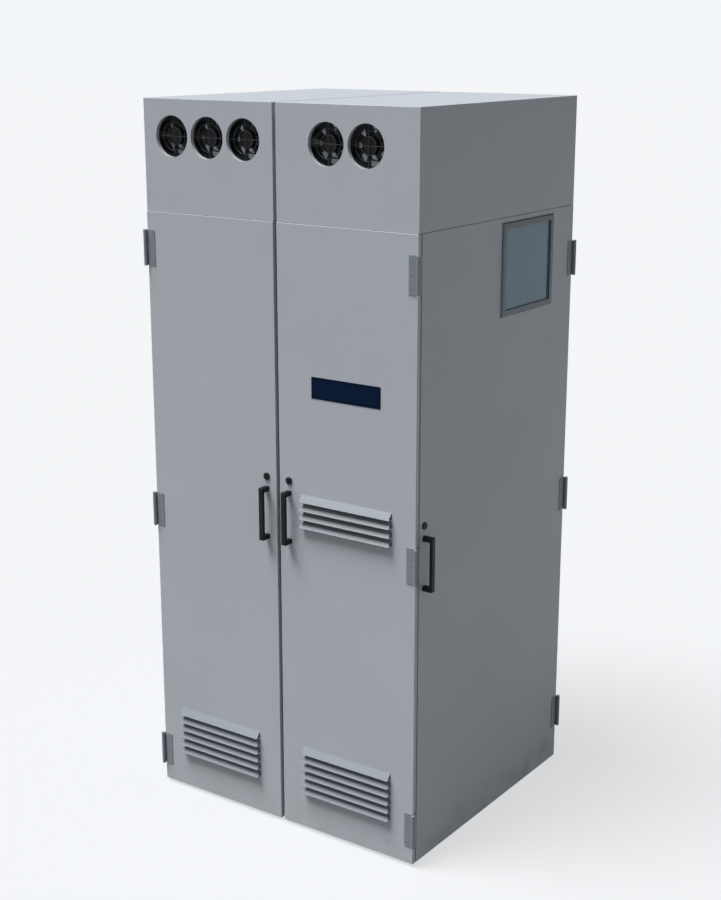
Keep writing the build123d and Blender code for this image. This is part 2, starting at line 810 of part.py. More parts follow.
with BuildPart() as louvre:
    with BuildSketch(Plane.YZ.offset(-louvre_width / 2)):
        with BuildLine():
            Polyline(
                (0, -sheet), (0, 0), (-louvre_drop, louvre_reach),
                (-louvre_drop - sheet * louvre_reach / slant, louvre_reach - sheet * louvre_drop / slant),
                (blade_root, -sheet), close=True,
            )
        make_face()
    extrude(amount=louvre_width)

for door, face, levels in (("left", left_face, low_levels), ("right", right_face, low_levels + mid_levels)):
    with BuildPart() as louvres:
        with Locations(*[on(face, 0, level) for level in levels]):
            add(louvre.part)
    save(louvres, f"{door}_louvres")


# ======== door seals ========
def door_seal(face, opening_left, opening_right, name):
    """Foam loop on the back of a door, facing the frame's rim around its opening."""
    middle = ((opening_left + opening_right) / 2, (opening_low + opening_high) / 2)
    inner_width = opening_right - opening_left + 2 * seal_margin
    inner_height = opening_high - opening_low + 2 * seal_margin
    with BuildPart() as seal:
        with BuildSketch(face.offset(-door_thickness)):
            with Locations(middle):
                Rectangle(inner_width + 2 * seal_width, inner_height + 2 * seal_width)
                Rectangle(inner_width, inner_height, mode=Mode.SUBTRACT)
        extrude(amount=-(seal_gap - seal_clearance))
    save(seal, name)


door_seal(left_face, -door_hinge_side, door_free_side, "left_door_seal")
door_seal(right_face, -door_free_side, door_hinge_side, "right_door_seal")
door_seal(side_face, *side_opening, "side_door_seal")

# ======== hinges ========
knuckle_height = hinge_height / 3
strip_near = leaf_side_gap
strip_far = leaf_side_gap + leaf_thickness


def hinge_forms(outward):
    """Door leaf, frame leaf and pin of one hinge; outward is the side of the hinge line.

    The form's origin is on the door's edge, at the door's face and the hinge's mid height.
    """
    axis_x = outward * hinge_axis_out
    with BuildPart() as door_leaf:
        with BuildSketch(Plane.XY):
            plate = door_leaf_width - leaf_relief
            with Locations((-outward * (leaf_relief + plate / 2), 0)):
                Rectangle(plate, hinge_height)
            with Locations(((axis_x - outward * leaf_relief) / 2, 0)):
                Rectangle(leaf_relief + hinge_axis_out, knuckle_height - knuckle_gap)
        extrude(amount=leaf_thickness)
        with BuildSketch(Plane.XZ.offset(-(knuckle_height - knuckle_gap) / 2)):
            with Locations((axis_x, hinge_axis_proud)):
                Circle(knuckle_radius)
        extrude(amount=knuckle_height - knuckle_gap)
        with BuildSketch(Plane.XZ.offset(-hinge_height / 2)):
            with Locations((axis_x, hinge_axis_proud)):
                Circle(hinge_pin_radius + hinge_pin_fit)
        extrude(amount=hinge_height, mode=Mode.SUBTRACT)
    with BuildPart() as frame_leaf:
        with BuildSketch(Plane.XY.offset(-frame_face_depth)):
            with Locations((outward * (strip_near + strip_far) / 2, 0)):
                Rectangle(leaf_thickness, hinge_height)
        extrude(amount=frame_face_depth + hinge_axis_proud)
        with BuildSketch(Plane.XY.offset(-frame_face_depth)):
            with Locations((outward * (strip_far - frame_leaf_reach) / 2, 0)):
                Rectangle(strip_far + frame_leaf_reach, hinge_height)
        extrude(amount=leaf_thickness)
        for end in (-1, 1):
            start = end * knuckle_height - knuckle_height / 2
            with BuildSketch(Plane.XZ.offset(-start - knuckle_height)):
                with Locations((axis_x, hinge_axis_proud)):
                    Circle(knuckle_radius)
            extrude(amount=knuckle_height)
        # room for the door's knuckle between the frame's two
        with BuildSketch(Plane.XY.offset(-sheet)):
            Rectangle(4 * knuckle_radius, knuckle_height)
        extrude(amount=2 * knuckle_radius + hinge_axis_proud, mode=Mode.SUBTRACT)
        with BuildSketch(Plane.XZ.offset(-hinge_height / 2)):
            with Locations((axis_x, hinge_axis_proud)):
                Circle(hinge_pin_radius + hinge_pin_fit)
        extrude(amount=hinge_height, mode=Mode.SUBTRACT)
    with BuildPart() as pin:
        with BuildSketch(Plane.XZ.offset(-hinge_height / 2)):
            with Locations((axis_x, hinge_axis_proud)):
                Circle(hinge_pin_radius)
        extrude(amount=hinge_height)
        for level in (-hinge_height / 2 - hinge_pin_head, hinge_height / 2):
            with BuildSketch(Plane.XZ.offset(-level - hinge_pin_head)):
                with Locations((axis_x, hinge_axis_proud)):
                    Circle(knuckle_radius - 1)
            extrude(amount=hinge_pin_head)
    return door_leaf.part, frame_leaf.part, pin.part


left_hand = hinge_forms(-1)
right_hand = hinge_forms(1)
hinge_sets = (
    ("left", left_hand, [on(left_face, -bay_width / 2, level) for level in front_hinge_levels]),
    ("right", right_hand, [on(right_face, bay_width / 2, level) for level in front_hinge_levels]),
    ("side", right_hand, [on(side_face, side_door_width / 2, level) for level in side_hinge_levels]),
)
for door, (door_leaf_form, frame_leaf_form, pin_form), places in hinge_sets:
    with BuildPart() as door_leaves:
        with Locations(*places):
            add(door_leaf_form)
    save(door_leaves, f"{door}_door_leaves")

with BuildPart() as frame_leaves:
    for door, (door_leaf_form, frame_leaf_form, pin_form), places in hinge_sets:
        with Locations(*places):
            add(frame_leaf_form)
save(frame_leaves, "frame_leaves")

with BuildPart() as hinge_pins:
    for door, (door_leaf_form, frame_leaf_form, pin_form), places in hinge_sets:
        with Locations(*places):
            add(pin_form)
save(hinge_pins, "hinge_pins")

# ======== handles ========
handle_gap = handle_reach - handle_bar
with BuildPart() as bow_handle:
    with BuildSketch(Plane.YZ.offset(-handle_width / 2)):
        with Locations((0, handle_reach / 2)):
            Rectangle(handle_length, handle_reach)
        with Locations((0, handle_gap / 2)):
            Rectangle(handle_length - 2 * handle_foot, handle_gap, mode=Mode.SUBTRACT)
    extrude(amount=handle_width)
    fillet(bow_handle.edges().filter_by(Axis.X).group_by(Axis.Z)[1], handle_inner_round)
    fillet(bow_handle.edges().filter_by(Axis.X).group_by(Axis.Z)[-1], handle_round)
    rims = bow_handle.faces().filter_by(Axis.X).edges()
    fillet(rims - rims.filter_by(Axis.Y).group_by(Axis.Z)[0], handle_edge_round)

handle_sets = (
    ("left", on(left_face, front_hardware, front_handle_level)),
    ("right", on(right_face, -front_hardware, front_handle_level)),
    ("side", on(side_face, side_hardware, side_handle_level)),
)
for door, place in handle_sets:
    with BuildPart() as handle:
        with Locations(place):
            add(bow_handle.part)
    save(handle, f"{door}_door_handle")

# ======== quarter-turn locks ========
barrel_end = frame_face_depth - lock_barrel_end_gap
with BuildPart() as lock_body:
    with BuildSketch(Plane.XY):
        Circle(lock_head_radius)
    extrude(amount=lock_head_proud)
    chamfer(lock_body.faces().sort_by(Axis.Z)[-1].edges(), lock_head_bevel)
    with BuildSketch(Plane.XY.offset(-barrel_end)):
        Circle(lock_barrel_radius)
    extrude(amount=barrel_end)
    with BuildSketch(Plane.XY.offset(-barrel_end)):
        Circle(lock_plug_radius + lock_fit)
    extrude(amount=barrel_end + lock_head_proud, mode=Mode.SUBTRACT)

with BuildPart() as lock_plug:
    with BuildSketch(Plane.XY.offset(-cam_front_depth)):
        Circle(lock_plug_radius)
    extrude(amount=cam_front_depth + lock_head_proud + lock_plug_proud)
    with BuildSketch(Plane.XY.offset(lock_head_proud + lock_plug_proud - key_slot_depth)):
        Rectangle(key_slot_width, key_slot_length)
    extrude(amount=key_slot_depth, mode=Mode.SUBTRACT)
    with BuildSketch(Plane.XY.offset(-cam_front_depth - cam_thickness - 1)):
        Circle(cam_spigot_radius)
    extrude(amount=cam_thickness + 1)

with BuildPart() as lock_cam:
    with BuildSketch(Plane.XY.offset(-cam_front_depth - cam_thickness)):
        Circle(cam_hub_radius)
        with Locations((0, (cam_reach - cam_hub_radius) / 2 + cam_hub_radius / 2)):
            Rectangle(2 * cam_hub_radius - 3, cam_reach)
        Circle(cam_spigot_radius + lock_fit, mode=Mode.SUBTRACT)
    extrude(amount=cam_thickness)

lock_sets = (
    ("left", on(left_face, front_hardware, lock_level)),
    ("right", on(right_face, -front_hardware, lock_level)),
    ("side", on(side_face, side_hardware, side_lock_level)),
)
for door, place in lock_sets:
    for form, kind in ((lock_body, "lock_body"), (lock_plug, "lock_plug"), (lock_cam, "lock_cam")):
        with BuildPart() as piece:
            with Locations(place):
                add(form.part)
        save(piece, f"{door}_{kind}")


# ======== filters behind the louvres ========
def filter_heights(levels):
    """Lower and upper level of the filter that covers one block of louvres."""
    return levels[-1] - louvre_drop - filter_margin, levels[0] + filter_margin


def filters(face, blocks, name):
    """Foam pads and the trays that hold them to the inside of a door."""
    pad_width = louvre_width + 2 * filter_margin
    tray_width = pad_width + 2 * (filter_tray_wall + seal_clearance)
    with BuildPart() as trays:
        for levels in blocks:
            low, high = filter_heights(levels)
            tray_height = high - low + 2 * (filter_tray_wall + seal_clearance)
            middle = (0, (low + high) / 2)
            with BuildSketch(face.offset(-sheet - filter_tray_depth)):
                with Locations(middle):
                    Rectangle(tray_width, tray_height)
            extrude(amount=filter_tray_depth)
            with BuildSketch(face.offset(-sheet - filter_tray_depth + filter_tray_wall)):
                with Locations(middle):
                    Rectangle(tray_width - 2 * filter_tray_wall, tray_height - 2 * filter_tray_wall)
            extrude(amount=filter_tray_depth - filter_tray_wall, mode=Mode.SUBTRACT)
            with BuildSketch(face.offset(-sheet - filter_tray_depth)):
                with Locations(middle):
                    Rectangle(tray_width - 2 * filter_tray_lip, tray_height - 2 * filter_tray_lip)
            extrude(amount=filter_tray_wall, mode=Mode.SUBTRACT)
    save(trays, f"{name}_filter_trays")
    with BuildPart() as pads:
        for levels in blocks:
            low, high = filter_heights(levels)
            with BuildSketch(face.offset(-sheet - seal_clearance - filter_thickness)):
                with Locations((0, (low + high) / 2)):
                    Rectangle(pad_width, high - low)
            extrude(amount=filter_thickness)
    save(pads, f"{name}_filter_pads")


filters(left_face, [low_levels], "left")
filters(right_face, [low_levels, mid_levels], "right")

# ======== display ========
with BuildPart() as display_lens:
    with BuildSketch(right_face):
        with Locations((0, display_level)):
            RectangleRounded(display_width, display_height, 1)
    extrude(amount=display_proud)
save(display_lens, "display_lens")

with BuildPart() as display_module:
    with BuildSketch(right_face.offset(-sheet - display_module_depth)):
        with Locations((0, display_level)):
            Rectangle(display_width - display_border, display_height - display_border)
    extrude(amount=display_module_depth)
save(display_module, "display_module")

# ======== window in the side door ========
glass_width = spigot_width - 2 * (window_spigot_wall + glass_gap)
glass_height = spigot_height - 2 * (window_spigot_wall + glass_gap)
sight_width = window_width - 2 * window_border
sight_height = window_height - 2 * window_border
window_place = on(side_face, window_across, window_level)

with BuildPart() as window_form:
    with BuildSketch(Plane.XY):
        Rectangle(window_width, window_height)
    extrude(amount=window_proud)
    chamfer(window_form.faces().sort_by(Axis.Z)[-1].edges(), window_bevel)
    with BuildSketch(Plane.XY.offset(-window_spigot_depth)):
        Rectangle(spigot_width, spigot_height)
    extrude(amount=window_spigot_depth)
    with BuildSketch(Plane.XY.offset(-window_spigot_depth)):
        Rectangle(spigot_width - 2 * window_spigot_wall, spigot_height - 2 * window_spigot_wall)
    extrude(amount=window_spigot_depth, mode=Mode.SUBTRACT)
    with BuildSketch(Plane.XY):
        Rectangle(sight_width, sight_height)
    extrude(amount=window_proud, mode=Mode.SUBTRACT)

with BuildPart() as window_frame:
    with Locations(window_place):
        add(window_form.part)
save(window_frame, "window_frame")

with BuildPart() as window_glass:
    with BuildSketch(side_face.offset(-glass_thickness)):
        with Locations((window_across, window_level)):
            Rectangle(glass_width, glass_height)
    extrude(amount=glass_thickness)
save(window_glass, "window_glass")

with BuildPart() as window_seal:
    with BuildSketch(side_face.offset(-window_spigot_depth)):
        with Locations((window_across, window_level)):
            Rectangle(glass_width, glass_height)
            Rectangle(sight_width, sight_height, mode=Mode.SUBTRACT)
    extrude(amount=window_spigot_depth - glass_thickness)
save(window_seal, "window_seal")
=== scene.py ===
import json
import math

import bmesh
import bpy
from mathutils import Matrix, Vector


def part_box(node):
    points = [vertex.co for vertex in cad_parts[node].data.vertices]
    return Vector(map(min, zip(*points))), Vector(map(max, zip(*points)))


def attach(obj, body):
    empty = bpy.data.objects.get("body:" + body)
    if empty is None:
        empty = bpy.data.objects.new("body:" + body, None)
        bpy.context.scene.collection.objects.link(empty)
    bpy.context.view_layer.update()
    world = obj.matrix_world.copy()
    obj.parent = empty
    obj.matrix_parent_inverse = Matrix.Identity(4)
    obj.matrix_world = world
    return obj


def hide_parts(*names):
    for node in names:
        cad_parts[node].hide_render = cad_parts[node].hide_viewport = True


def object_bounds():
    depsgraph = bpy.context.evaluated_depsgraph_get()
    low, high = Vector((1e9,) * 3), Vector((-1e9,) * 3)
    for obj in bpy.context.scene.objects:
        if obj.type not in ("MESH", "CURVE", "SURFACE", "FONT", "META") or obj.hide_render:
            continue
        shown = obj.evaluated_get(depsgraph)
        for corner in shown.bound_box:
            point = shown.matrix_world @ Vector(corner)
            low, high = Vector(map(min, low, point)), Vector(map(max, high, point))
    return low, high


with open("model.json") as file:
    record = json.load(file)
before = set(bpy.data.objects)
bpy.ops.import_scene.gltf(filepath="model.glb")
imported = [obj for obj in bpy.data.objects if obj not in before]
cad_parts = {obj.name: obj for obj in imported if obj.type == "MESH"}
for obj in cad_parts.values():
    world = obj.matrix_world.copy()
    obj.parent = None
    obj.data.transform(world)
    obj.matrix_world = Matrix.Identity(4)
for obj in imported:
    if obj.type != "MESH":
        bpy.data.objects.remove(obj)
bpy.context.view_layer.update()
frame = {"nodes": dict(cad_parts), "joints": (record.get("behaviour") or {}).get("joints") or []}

nodes = frame["nodes"]

# ---- Powder-coated sheet: door pans, side and rear panels, plenum shells ----
# Folded steel sheet with a light grey polyester powder coat. The coat has a fine orange
# peel, slightly cloudy gloss, and scuffs and dust low down where boots and mops reach.


class Shade:
    """A shader socket that takes part in Python sums."""

    def __init__(self, finish, socket):
        self.finish = finish
        self.socket = socket

    def math(self, operation, *values):
        return self.finish.node("ShaderNodeMath", {"operation": operation}, dict(enumerate(values)))

    def __add__(self, other):
        return self.math("ADD", self, other)

    def __sub__(self, other):
        return self.math("SUBTRACT", self, other)

    def __rsub__(self, other):
        return self.math("SUBTRACT", other, self)

    def __mul__(self, other):
        return self.math("MULTIPLY", self, other)

    __radd__ = __add__
    __rmul__ = __mul__


class Finish:
    """One material, or the world, and the single way to add a node to it."""

    def __init__(self, name, block=None):
        self.material = block or bpy.data.materials.new(name)
        self.material.use_nodes = True
        self.tree = self.material.node_tree
        self.tree.nodes.clear()

    def node(self, kind, settings=None, sockets=None, output=0):
        made = self.tree.nodes.new(kind)
        for name, value in (settings or {}).items():
            setattr(made, name, value)
        for name, value in (sockets or {}).items():
            if isinstance(value, Shade):
                self.tree.links.new(value.socket, made.inputs[name])
            else:
                made.inputs[name].default_value = value
        return Shade(self, made.outputs[output])

    def place(self):
        return self.node("ShaderNodeTexCoord", output="Object")

    def noise(self, scale, detail=2.0, roughness=0.5, where=None):
        where = where or self.place()
        return self.node("ShaderNodeTexNoise", None, {
            "Vector": where, "Scale": scale, "Detail": detail, "Roughness": roughness})

    def step(self, value, low, high):
        return self.node("ShaderNodeMapRange", {"interpolation_type": "SMOOTHSTEP"}, {
            "Value": value, "From Min": low, "From Max": high})

    def mix(self, factor, first, second):
        return self.node(
            "ShaderNodeMix", {"data_type": "RGBA"}, {0: factor, 6: first, 7: second}, output=2)

    def bump(self, height, strength, distance):
        return self.node("ShaderNodeBump", None, {
            "Height": height, "Strength": strength, "Distance": distance})

    def surface(self, sockets):
        shader = self.node("ShaderNodeBsdfPrincipled", None, sockets)
        self.show(shader)
        return self.material

    def show(self, shader, kind="ShaderNodeOutputMaterial"):
        made = self.tree.nodes.new(kind)
        self.tree.links.new(shader.socket, made.inputs["Surface"])


def rgb(red, green, blue):
    """Linear colour with alpha from 0-255 display values."""
    return tuple(((c / 255 + 0.055) / 1.055) ** 2.4 if c > 10 else c / 255 / 12.92
                 for c in (red, green, blue)) + (1.0,)


scuff_height = 0.16


def powder_coat(name, colour, shadow, peel=0.22, gloss=0.4, scuffed=True):
    """Fine orange-peel paint. Its shade drifts a little, and it is scuffed near the floor."""
    paint = Finish(name)
    where = paint.place()
    cloud = paint.noise(2.4, 4.0, 0.6, where)
    speck = paint.noise(420.0, 2.0, 0.5, where)
    peel_height = paint.noise(1100.0, 1.0, 0.5, where) + paint.noise(260.0, 1.0, 0.5, where) * 1.6
    base = paint.mix(paint.step(cloud, 0.35, 0.7) * 0.28, colour, shadow)
    base = paint.mix(paint.step(speck, 0.66, 0.78) * 0.12, base, shadow)
    roughness = 0.08 * cloud + gloss
    if scuffed:
        level = paint.node("ShaderNodeSeparateXYZ", None, {"Vector": where}, output="Z")
        low = 1 - paint.step(level, 0.0, scuff_height)
        stretched = paint.node("ShaderNodeMapping", None, {"Vector": where, "Scale": (9.0, 9.0, 60.0)})
        scratch = paint.step(paint.noise(2.0, 6.0, 0.7, stretched), 0.56, 0.72)
        dust = paint.step(paint.noise(14.0, 5.0, 0.65, where), 0.4, 0.75)
        base = paint.mix(low * scratch * 0.45, base, rgb(112, 112, 110))
        base = paint.mix(low * dust * 0.22, base, rgb(176, 168, 152))
        roughness = roughness + low * dust * 0.25
    return paint.surface({
        "Base Color": base, "Roughness": roughness, "IOR": 1.5,
        "Normal": paint.bump(peel_height, peel, 0.00025)})


cabinet_paint = powder_coat("light grey powder coat", rgb(178, 184, 190), rgb(169, 175, 181))


def dress(material, *names):
    """Give CAD nodes their finish."""
    for name in names:
        mesh = nodes[name].data
        mesh.materials.clear()
        mesh.materials.append(material)


dress(cabinet_paint, "left_door_panel", "right_door_panel", "side_door_panel", "left_side_panel",
      "rear_panel_left", "rear_panel_right", "plenum_shell_left", "plenum_shell_right")

# The louvre blades slope up towards the key light, so their coat is painted darker than the panels:
# painted shade that holds back the light they catch.
shaded_louvre_coat = powder_coat("louvre coat with painted shade", rgb(130, 137, 143), rgb(115, 121, 127))
dress(shaded_louvre_coat, "left_louvres", "right_louvres")


# ---- Frame, shelves and other galvanised sheet ----
# Posts, rails, shelves, gland plates, filter trays and bay spacers, bent from zinc-coated
# sheet. Zinc shows pale and dark crystals about a centimetre across.
def galvanised(name, pale, dark, grain=70.0):
    """Zinc-coated steel: spangle in colour and gloss, with fine rolling lines."""
    zinc = Finish(name)
    where = zinc.place()
    spangle = zinc.node("ShaderNodeTexVoronoi", {"feature": "F1"}, {"Vector": where, "Scale": grain},
                        output="Color")
    tone = zinc.node("ShaderNodeSeparateColor", None, {"Color": spangle})
    drawn = zinc.node("ShaderNodeMapping", None, {"Vector": where, "Scale": (300.0, 300.0, 6.0)})
    lines = zinc.noise(2.0, 3.0, 0.6, drawn)
    return zinc.surface({
        "Base Color": zinc.mix(tone * 0.7, pale, dark), "Metallic": 0.9,
        "Roughness": 0.3 + 0.18 * tone + 0.06 * lines,
        "Normal": zinc.bump(lines, 0.08, 0.0002)})


sheet_zinc = galvanised("galvanised sheet", rgb(196, 199, 202), rgb(150, 154, 158))
bright_zinc = galvanised("bright zinc plating", rgb(208, 206, 196), rgb(176, 174, 164), 240.0)
dress(sheet_zinc, "frame_posts", "cross_rails", "side_rails", "shelves", "gland_plates", "bay_spacers",
      "left_filter_trays", "right_filter_trays")
dress(bright_zinc, "levelling_feet", "foot_nuts", "hinge_pins", "left_lock_cam", "right_lock_cam",
      "side_lock_cam")


# ---- Hinges ----
# Steel hinge leaves under a mid grey satin coat, screwed flat to the doors and wrapped
# round their edges to the frame. Three countersunk screws, coated over, hold each door leaf.
hinge_coat = powder_coat("hinge grey", rgb(126, 133, 140), rgb(108, 115, 122), 0.12, 0.34, False)
dress(hinge_coat, "frame_leaves", "left_door_leaves", "right_door_leaves", "side_door_leaves")


def mesh_piece(name, bm, material, body, smooth=40.0):
    """Finish one bmesh as a piece: smooth by angle, dressed, riding on a body."""
    mesh = bpy.data.meshes.new(name)
    bmesh.ops.recalc_face_normals(bm, faces=bm.faces)
    bm.to_mesh(mesh)
    bm.free()
    piece = bpy.data.objects.new(name, mesh)
    bpy.context.scene.collection.objects.link(piece)
    mesh.materials.append(material)
    mesh.shade_smooth()
    mesh.set_sharp_from_angle(angle=math.radians(smooth))
    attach(piece, body)
    return piece


def turned(bm, profile, place, sides=24):
    """Add a solid of revolution. The profile is (radius, height) pairs from axis to axis."""
    rings = []
    for radius, height in profile:
        if radius == 0:
            rings.append([bm.verts.new(place @ Vector((0, 0, height)))])
        else:
            rings.append([bm.verts.new(place @ Vector((
                radius * math.cos(math.tau * k / sides), radius * math.sin(math.tau * k / sides), height)))
                for k in range(sides)])
    for low, high in zip(rings, rings[1:]):
        for k in range(sides):
            corners = [low[k % len(low)], low[(k + 1) % len(low)],
                       high[(k + 1) % len(high)], high[k % len(high)]]
            corners = list(dict.fromkeys(corners))
            if len(corners) > 2:
                bm.faces.new(corners)


def facing(point, outward):
    """Placing matrix with +Z along outward, at a point."""
    return Matrix.Translation(point) @ Vector(outward).to_track_quat("Z", "Y").to_matrix().to_4x4()


def countersunk(bm, place, head=0.0036, rise=0.0003, sink=0.0004):
    """Flush screw head with a hexagonal socket."""
    turned(bm, [(0, -sink), (head, -sink), (head, rise * 0.5), (head * 0.93, rise),
                (head * 0.5, rise)], place, 20)
    turned(bm, [(head * 0.5, rise), (head * 0.46, -rise), (0, -rise)], place, 6)


front = Vector((0, -1, 0))
right = Vector((1, 0, 0))
leaf_height = 0.097
leaf_thickness = 0.002
screw_inset = 0.009
screw_pitch = 0.034
leaf_face_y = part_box("display_lens")[1].y - leaf_thickness
leaf_face_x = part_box("side_door_panel")[1].x + leaf_thickness
screw_lines = {
    "left": (Vector((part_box("left_door_leaves")[1].x - screw_inset, leaf_face_y, 0)), front),
    "right": (Vector((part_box("right_door_leaves")[0].x + screw_inset, leaf_face_y, 0)), front),
    "side": (Vector((leaf_face_x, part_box("side_door_leaves")[0].y + screw_inset, 0)), right)}


def leaf_levels(low, high):
    """Screw levels of three equal leaves, spread evenly between two heights."""
    first = low.z + leaf_height / 2
    span = (high.z - low.z - leaf_height) / 2
    return [first + span * k + offset for k in range(3) for offset in (-screw_pitch, 0.0, screw_pitch)]


for side, (foot, outward) in screw_lines.items():
    screws = bmesh.new()
    for level in leaf_levels(*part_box(side + "_door_leaves")):
        countersunk(screws, facing(foot + Vector((0, 0, level)), outward))
    mesh_piece(side + "_hinge_screws", screws, hinge_coat, side + "_door")


# ---- Handles and locks ----
# Bow handles of fine-grained black nylon, and quarter-turn locks cast in zinc with a
# black coat. Hands polish the top of each bow, and keys scratch the plug.
def moulded(name, colour, worn, grain=1500.0, gloss=0.45, grain_strength=0.3, shine=0.5):
    """Moulded plastic with a spark-eroded grain and a slightly polished drift in gloss."""
    plastic = Finish(name)
    where = plastic.place()
    rub = plastic.step(plastic.noise(22.0, 4.0, 0.6, where), 0.45, 0.75)
    texture = plastic.noise(grain, 2.0, 0.6, where)
    return plastic.surface({
        "Base Color": plastic.mix(rub * 0.5, colour, worn),
        "Roughness": gloss + 0.1 * texture - 0.12 * rub, "Specular IOR Level": shine,
        "Normal": plastic.bump(texture, grain_strength, 0.00015)})


nylon = moulded("black nylon", rgb(13, 15, 19), rgb(20, 22, 26), shine=0.22)
lock_coat = moulded("black lock coat", rgb(12, 13, 16), rgb(22, 23, 26), 600.0, 0.42, 0.1, 0.22)
dress(nylon, "left_door_handle", "right_door_handle", "side_door_handle")
dress(lock_coat, "left_lock_body", "right_lock_body", "side_lock_body", "left_lock_plug",
      "right_lock_plug", "side_lock_plug")

# ---- Fans ----
# Axial fans of black glass-filled plastic, 120 mm square, each behind a guard of black
# coated wire rings on crossed wires. The guards are modelled again here with round wire.
fan_plastic = moulded("fan plastic", rgb(15, 16, 19), rgb(23, 24, 27), 900.0, 0.38, 0.2, 0.25)
rotor_names = [f"fan_rotor_{k}" for k in range(1, 6)]
dress(fan_plastic, "fan_housings", "display_module")
spin = {joint["child"]: Vector(joint["pos_m"]) for joint in frame["joints"]}
hub_radius = 0.0245
hub_blend = 0.003


def rotor_finish(name, centre):
    """Black plastic whose blades are painted a lighter grey, partly dust and partly a painted sheen for
    the light they reflect, and whose hub stays clean.
    """
    rotor = Finish(name)
    where = rotor.place()
    arm = rotor.node("ShaderNodeVectorMath", {"operation": "MULTIPLY_ADD"}, {
        0: where, 1: (1.0, 0.0, 1.0), 2: (-centre.x, 0.0, -centre.z)})
    radius = rotor.node("ShaderNodeVectorMath", {"operation": "LENGTH"}, {0: arm}, output="Value")
    # The blade mask lightens the blades outside the hub: partly dust, partly painted sheen standing in for
    # their reflection of the bright room.
    blade_dust_and_sheen = rotor.step(radius, hub_radius, hub_radius + hub_blend)
    film = rotor.noise(90.0, 4.0, 0.6, where)
    return rotor.surface({
        "Base Color": rotor.mix(blade_dust_and_sheen * film, rgb(13, 14, 17), rgb(42, 44, 48)),
        "Roughness": 0.34 + 0.3 * film * blade_dust_and_sheen, "Specular IOR Level": 0.25,
        "Normal": rotor.bump(rotor.noise(900.0, 2.0, 0.6, where), 0.2, 0.00015)})


for name in rotor_names:
    dress(rotor_finish(name + " plastic", spin[name.replace("rotor_", "")]), name)

dipped_wire = moulded("black dipped wire", rgb(46, 48, 51), rgb(60, 62, 65), 700.0, 0.36, 0.1)

wire_radius = 0.0008
ring_radii = (0.023, 0.038, 0.0539)


def ring_wire(bm, place, radius, around=48, across=8):
    """Add a closed ring of round wire about the placing matrix's Z."""
    loops = []
    for k in range(around):
        turn = math.tau * k / around
        loops.append([bm.verts.new(place @ Vector((
            (radius + wire_radius * math.cos(math.tau * j / across)) * math.cos(turn),
            (radius + wire_radius * math.cos(math.tau * j / across)) * math.sin(turn),
            wire_radius * math.sin(math.tau * j / across)))) for j in range(across)])
    for k in range(around):
        for j in range(across):
            bm.faces.new((loops[k][j], loops[(k + 1) % around][j],
                          loops[(k + 1) % around][(j + 1) % across], loops[k][(j + 1) % across]))


def straight_wire(bm, place, length, across=8):
    """Add a straight wire along the placing matrix's Z, centred on it."""
    turned(bm, [(0, -length / 2), (wire_radius, -length / 2), (wire_radius, length / 2), (0, length / 2)],
           place, across)


guard_low, guard_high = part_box("fan_guards")
guard_y = (guard_low.y + guard_high.y) / 2
guards = bmesh.new()
for name in rotor_names:
    axis_point = spin[name.replace("rotor_", "")]
    centre = Vector((axis_point.x, guard_y, axis_point.z))
    place = facing(centre, front)
    for radius in ring_radii:
        ring_wire(guards, place, radius)
    for direction in (Vector((1, 0, 0)), Vector((0, 0, 1))):
        straight_wire(guards, facing(centre, direction), 2 * ring_radii[-1])
guard_piece = mesh_piece("wire_guards", guards, dipped_wire, "cabinet", 60.0)
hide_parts("fan_guards")


# ---- Seals, bushes and filter foam ----
# Black foamed rubber seals on the doors and the window, rubber cable bushes, and open
# grey foam pads behind the louvres.
rubber = moulded("black rubber", rgb(22, 22, 23), rgb(34, 34, 34), 500.0, 0.75, 0.35)
dress(rubber, "left_door_seal", "right_door_seal", "side_door_seal", "window_seal", "cable_bushes")

foam = Finish("filter foam")
cells = foam.node("ShaderNodeTexVoronoi", {"feature": "DISTANCE_TO_EDGE"}, {
    "Vector": foam.place(), "Scale": 420.0})
# The dark middles of the foam cells are painted shade in the open pores; the pale cell edges are the grey
# foam itself.
filter_foam = foam.surface({
    "Base Color": foam.mix(foam.step(cells, 0.0, 0.2), rgb(92, 94, 98), rgb(30, 31, 33)),
    "Roughness": 0.95, "Normal": foam.bump(cells, 0.8, 0.001)})
dress(filter_foam, "left_filter_pads", "right_filter_pads")

# ---- Display ----
# A dark navy polycarbonate lens, printed from behind, with a slightly lighter clear
# field where the screen sits. The screen is off.
lens = Finish("navy display lens")
lens_low, lens_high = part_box("display_lens")
lens_border = 0.008
lens_axes = lens.place()
sideways = lens.node("ShaderNodeSeparateXYZ", None, {"Vector": lens_axes}, output="X")
upward = lens.node("ShaderNodeSeparateXYZ", None, {"Vector": lens_axes}, output="Z")


def inside(value, low, high):
    """1 between two limits and 0 outside them."""
    edge = 0.0004
    return lens.step(value, low, low + edge) * (1 - lens.step(value, high - edge, high))


field = (inside(sideways, lens_low.x + lens_border, lens_high.x - lens_border)
         * inside(upward, lens_low.z + lens_border, lens_high.z - lens_border))
smudge = lens.noise(35.0, 4.0, 0.6, lens_axes)
display_lens = lens.surface({
    "Base Color": lens.mix(field, rgb(5, 23, 47), rgb(8, 28, 54)),
    "Roughness": 0.2 + 0.12 * smudge, "Specular IOR Level": 0.04, "IOR": 1.45})
dress(display_lens, "display_lens")

# ---- Window in the side door ----
# A bevelled frame of dark grey anodised aluminium holds tinted safety glass, which
# shows the control gear only dimly.
anodised = Finish("dark anodised aluminium")
along = anodised.node("ShaderNodeMapping", None, {
    "Vector": anodised.place(), "Scale": (200.0, 12.0, 200.0)})
brushing = anodised.noise(3.0, 3.0, 0.6, along)
window_alloy = anodised.surface({
    "Base Color": anodised.mix(brushing, rgb(98, 106, 111), rgb(82, 90, 95)), "Metallic": 0.35,
    "Roughness": 0.36 + 0.1 * brushing, "Normal": anodised.bump(brushing, 0.06, 0.0002)})
dress(window_alloy, "window_frame")

